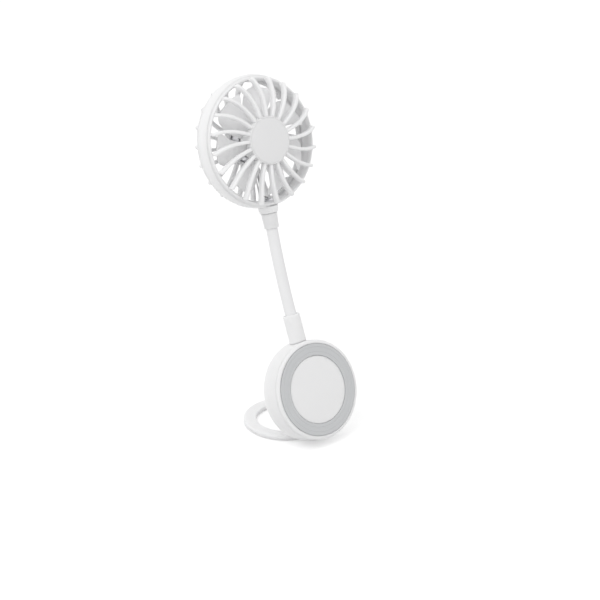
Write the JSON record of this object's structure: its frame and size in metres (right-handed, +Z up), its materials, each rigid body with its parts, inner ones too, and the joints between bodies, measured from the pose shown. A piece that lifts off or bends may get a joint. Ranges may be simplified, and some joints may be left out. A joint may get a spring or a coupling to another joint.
{
  "type": "magnetic phone fan",
  "caption": "Small fan with a swept grille on a bending neck, rising from a magnetic disc that leans back on a hinged ring stand.",
  "frame": {"origin": "bottom centre of the whole object's box, on the surface it stands on", "axes": "+Z up, +X to the right seen from the front, -Y towards the side that the fan blows to"},
  "size_m": [0.0792, 0.0948, 0.2113],
  "materials": {
    "white_plastic": "satin moulded",
    "cap_plastic": "fine matt",
    "white_silicone": "soft matt",
    "grey_silicone": "matt",
    "steel": "plated",
    "brass": "turned",
    "magnet": "nickel plated magnet",
    "iron": "laminated",
    "battery_foil": "foil pouch",
    "board_green": "coated board",
    "dark_plastic": "moulded",
    "light_pipe": "clear moulded",
    "white_jacket": "wire jacket",
    "grey_jacket": "wire jacket"
  },
  "bodies": {
    "base": {"base_front_cover": "white_plastic", "base_rear_cover": "white_plastic", "face_pad": "grey_silicone", "magnet_ring": "magnet", "battery_cell": "battery_foil", "circuit_board": "board_green", "control_chip": "dark_plastic", "charge_chip": "dark_plastic", "usb_c_socket": "steel", "push_switch": "dark_plastic", "charge_light": "light_pipe", "base_screw_1": "steel", "base_screw_2": "steel", "base_screw_3": "steel", "neck_anchor": "dark_plastic", "anchor_screw_1": "steel", "anchor_screw_2": "steel", "base_lead_white": "white_jacket", "base_lead_grey": "grey_jacket", "neck_root": "white_silicone", "lower_sleeve": "white_plastic", "stand_hinge_pin": "steel"},
    "power_button": {"power_button": "cap_plastic"},
    "stand": {"stand_ring": "white_plastic", "stand_foot_pad": "grey_silicone"},
    "neck_1": {"neck_link_1": "white_silicone"},
    "neck_2": {"neck_link_2": "white_silicone"},
    "neck_3": {"neck_link_3": "white_silicone"},
    "neck_4": {"neck_link_4": "white_silicone"},
    "neck_5": {"neck_link_5": "white_silicone"},
    "neck_6": {"neck_link_6": "white_silicone"},
    "neck_7": {"neck_link_7": "white_silicone"},
    "head": {"neck_tip": "white_silicone", "upper_sleeve": "white_plastic", "neck_nut": "steel", "head_ring": "white_plastic", "front_grille": "white_plastic", "hub_cap": "cap_plastic", "rear_grille": "white_plastic", "head_screw_1": "steel", "head_screw_2": "steel", "head_screw_3": "steel", "head_screw_4": "steel", "motor_can": "steel", "motor_end_bell": "dark_plastic", "motor_magnet_1": "magnet", "motor_magnet_2": "magnet", "front_bush": "brass", "rear_bush": "brass", "motor_screw_1": "steel", "motor_screw_2": "steel", "head_lead_white": "white_jacket", "head_lead_grey": "grey_jacket"},
    "rotor": {"rotor": "white_plastic", "motor_shaft": "steel", "motor_armature": "iron"}
  },
  "joints": [
    {"name": "power_button_press", "type": "slide", "parent": "base", "child": "power_button", "axis": [0, -0.9219, 0.3875], "range_m": [0, 0.00045], "stiffness_N_per_m": 1500, "springref_m": -0.0004},
    {"name": "stand_hinge", "type": "hinge", "parent": "base", "child": "stand", "pos_m": [-0.00398, -0.03469, 0.00215], "axis": [1, 0, 0], "range_deg": [-52.8, 67.2]},
    {"name": "neck_pitch_1", "type": "hinge", "parent": "base", "child": "neck_1", "pos_m": [-0.00398, -0.00997, 0.07658], "axis": [1, -0.0025, -0.0058], "range_deg": [-25, 25]},
    {"name": "neck_roll_1", "type": "hinge", "parent": "neck_1", "child": "neck_2", "pos_m": [-0.00394, -0.00745, 0.08271], "axis": [0.0001, 0.9275, -0.3738], "range_deg": [-25, 25]},
    {"name": "neck_pitch_2", "type": "hinge", "parent": "neck_2", "child": "neck_3", "pos_m": [-0.00386, -0.00497, 0.08886], "axis": [0.9998, -0.0072, -0.0175], "range_deg": [-25, 25]},
    {"name": "neck_roll_2", "type": "hinge", "parent": "neck_3", "child": "neck_4", "pos_m": [-0.00373, -0.00254, 0.09503], "axis": [0.0005, 0.933, -0.36], "range_deg": [-25, 25]},
    {"name": "neck_pitch_3", "type": "hinge", "parent": "neck_4", "child": "neck_5", "pos_m": [-0.00357, -0.00015, 0.10121], "axis": [0.9995, -0.0118, -0.0293], "range_deg": [-25, 25]},
    {"name": "neck_roll_3", "type": "hinge", "parent": "neck_5", "child": "neck_6", "pos_m": [-0.00336, 0.00219, 0.10741], "axis": [0.001, 0.9382, -0.3461], "range_deg": [-25, 25]},
    {"name": "neck_pitch_4", "type": "hinge", "parent": "neck_6", "child": "neck_7", "pos_m": [-0.0031, 0.00448, 0.11362], "axis": [0.999, -0.0162, -0.0412], "range_deg": [-25, 25]},
    {"name": "neck_roll_4", "type": "hinge", "parent": "neck_7", "child": "head", "pos_m": [-0.00281, 0.00673, 0.11985], "axis": [0.0017, 0.9432, -0.3322], "range_deg": [-25, 25]},
    {"name": "rotor_spin", "type": "hinge", "parent": "head", "child": "rotor", "pos_m": [0, 0.02423, 0.17256], "axis": [-0.0017, -0.9432, 0.3322], "continuous": true}
  ]
}
